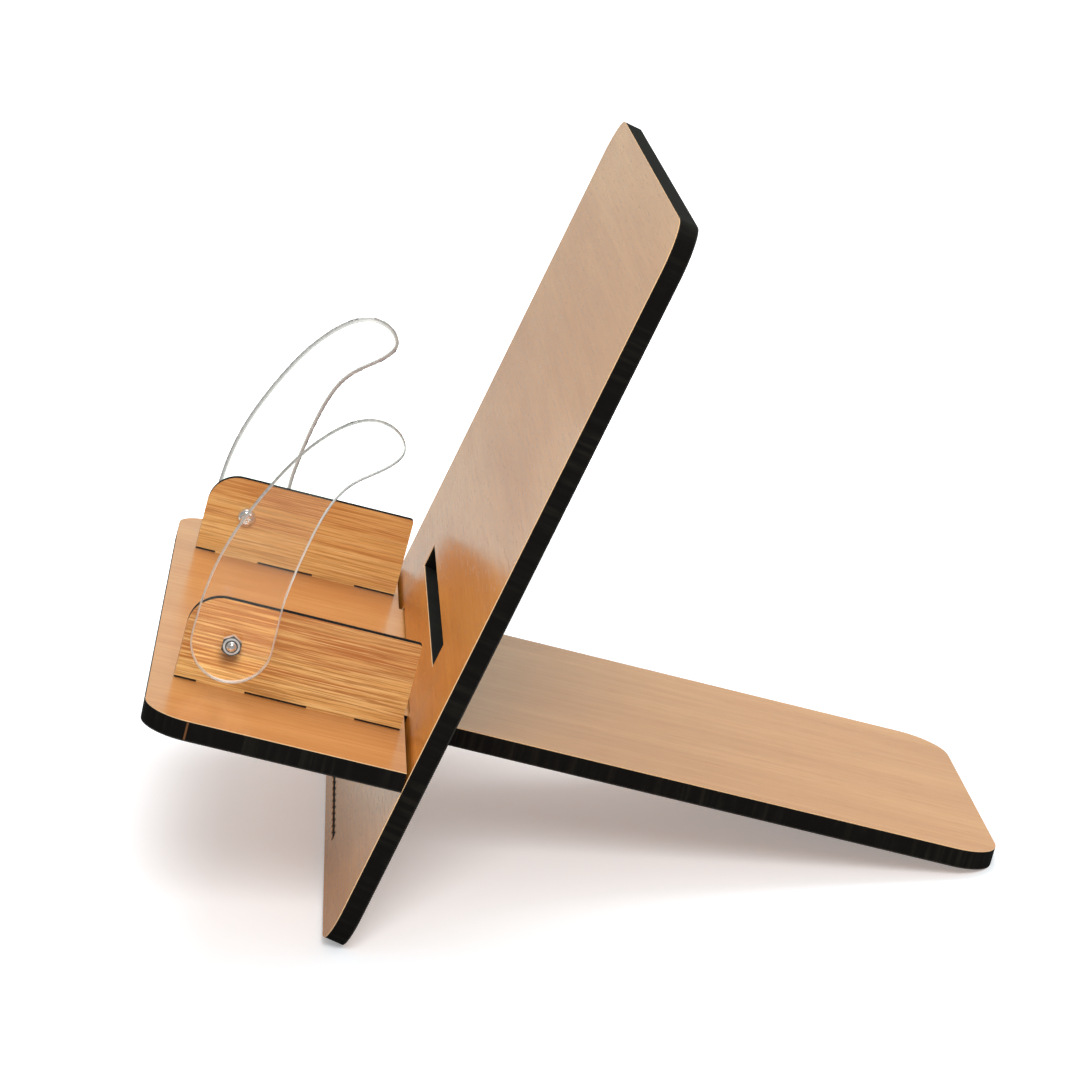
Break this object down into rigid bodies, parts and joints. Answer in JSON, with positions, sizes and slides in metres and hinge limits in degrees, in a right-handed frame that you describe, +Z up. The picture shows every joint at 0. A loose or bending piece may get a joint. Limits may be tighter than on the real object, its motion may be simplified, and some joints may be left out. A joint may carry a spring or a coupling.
{
  "type": "tabletop quran stand",
  "caption": "Tabletop stand for an open book: leaning board, sloping T-shaped shelf that props it through a slot, ear plates, clear turning page holders.",
  "frame": {"origin": "centre of the footprint on the floor, under the middle of the stand", "axes": "+X across the stand to the reader's right, -Y towards the reader, +Z up"},
  "size_m": [0.232, 0.2552, 0.2092],
  "materials": {
    "board_core": "laser-cut fibreboard, matte, edges charred near black",
    "wood_laminate": "printed wood laminate, semi-gloss, fine grain",
    "ear_core": "laser-cut thin board, matte, edges charred near black",
    "bamboo_laminate": "streaked bamboo laminate, satin",
    "clear_acrylic": "clear acrylic sheet, polished cut edge",
    "steel": "bright plated steel"
  },
  "bodies": {
    "back_panel": {"back_panel_core": "board_core", "back_panel_front_skin": "wood_laminate", "back_panel_rear_skin": "wood_laminate"},
    "shelf_board": {"left_ear_plate_core": "ear_core", "left_ear_plate_inner_skin": "bamboo_laminate", "left_ear_plate_outer_skin": "bamboo_laminate", "left_pivot_nut": "steel", "left_pivot_screw": "steel", "right_ear_plate_core": "ear_core", "right_ear_plate_inner_skin": "bamboo_laminate", "right_ear_plate_outer_skin": "bamboo_laminate", "right_pivot_nut": "steel", "right_pivot_screw": "steel", "shelf_board_bottom_skin": "wood_laminate", "shelf_board_core": "board_core", "shelf_board_top_skin": "wood_laminate"},
    "right_page_holder": {"right_page_holder": "clear_acrylic"},
    "left_page_holder": {"left_page_holder": "clear_acrylic"}
  },
  "joints": [
    {"name": "shelf_slide", "type": "slide", "parent": "back_panel", "child": "shelf_board", "axis": [0, -0.9636, 0.2672], "range_m": [0, 0.175]},
    {"name": "right_holder_pivot", "type": "hinge", "parent": "shelf_board", "child": "right_page_holder", "pos_m": [0.0785, -0.10221, 0.08407], "axis": [-1, 0, 0], "range_deg": [-98, 33]},
    {"name": "left_holder_pivot", "type": "hinge", "parent": "shelf_board", "child": "left_page_holder", "pos_m": [-0.0785, -0.10221, 0.08407], "axis": [-1, 0, 0], "range_deg": [-98, 33]}
  ]
}
